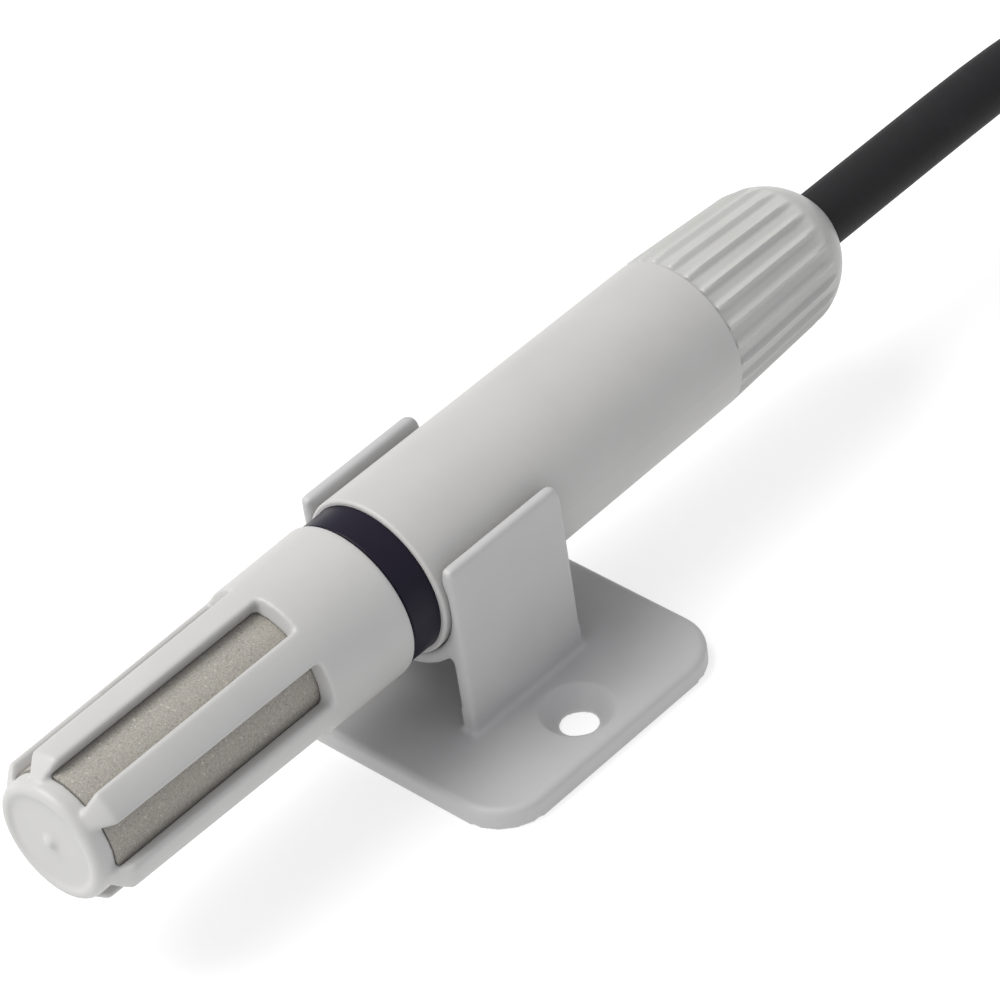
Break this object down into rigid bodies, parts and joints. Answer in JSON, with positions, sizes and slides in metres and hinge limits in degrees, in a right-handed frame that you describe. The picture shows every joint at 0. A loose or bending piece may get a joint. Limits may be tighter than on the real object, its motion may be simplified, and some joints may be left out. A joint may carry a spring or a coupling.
{
  "type": "clip-mounted air temperature probe",
  "caption": "Cylindrical air temperature probe with a slotted filter cap and a ribbed cable gland, held in a screw-down wall clip, with a round cable and plug.",
  "frame": {"origin": "on the clip's mounting face, midway between the two screw holes", "axes": "+Z out of the mounting face through the clip, +Y along the probe towards its cable, +X across, along the line of the screw holes"},
  "size_m": [0.0792, 0.2556, 0.0273],
  "materials": {
    "clip_plastic": "moulded, fine satin",
    "body_plastic": "moulded, fine satin",
    "cap_plastic": "moulded, fine satin",
    "nut_plastic": "moulded, fine satin",
    "filter_mesh": "sintered, speckled and rough",
    "head_plastic": "satin black",
    "seal_rubber": "soft black",
    "board_laminate": "green solder mask",
    "element_ceramic": "white ceramic",
    "element_film": "dark film on glass",
    "contact_metal": "gold plated",
    "dark_moulding": "fine black",
    "capacitor_ceramic": "tan ceramic with tinned ends",
    "terminal_plastic": "green moulding",
    "wire_brown": "smooth insulation",
    "wire_white": "smooth insulation",
    "wire_blue": "smooth insulation",
    "wire_black": "smooth insulation",
    "clamp_plastic": "moulded",
    "cable_jacket": "matte black jacket",
    "tie_plastic": "smooth black strap",
    "plug_metal": "nickel plated, knurled"
  },
  "bodies": {
    "root": {"mounting_clip": "clip_plastic", "body_tube": "body_plastic", "filter_cap": "cap_plastic", "filter_sleeve": "filter_mesh", "sensor_head": "head_plastic", "head_o_ring": "seal_rubber", "cap_o_ring": "seal_rubber", "element_board": "board_laminate", "temperature_element": "element_ceramic", "humidity_element": "element_film", "element_leads": "contact_metal", "contact_pins": "contact_metal", "signal_board": "board_laminate", "pin_socket": "dark_moulding", "processor_chip": "dark_moulding", "board_capacitors": "capacitor_ceramic", "wire_terminal": "terminal_plastic", "lead_wire_1": "wire_brown", "lead_wire_2": "wire_white", "lead_wire_3": "wire_blue", "lead_wire_4": "wire_black", "gland_seal": "seal_rubber", "gland_clamp": "clamp_plastic", "gland_nut": "nut_plastic", "cable": "cable_jacket", "cable_coil": "cable_jacket", "cable_tail": "cable_jacket", "coil_ties": "tie_plastic", "plug_back_nut": "dark_moulding", "plug_shell": "dark_moulding", "plug_collar": "plug_metal", "plug_insert": "dark_moulding", "plug_contacts": "contact_metal"}
  },
  "joints": []
}
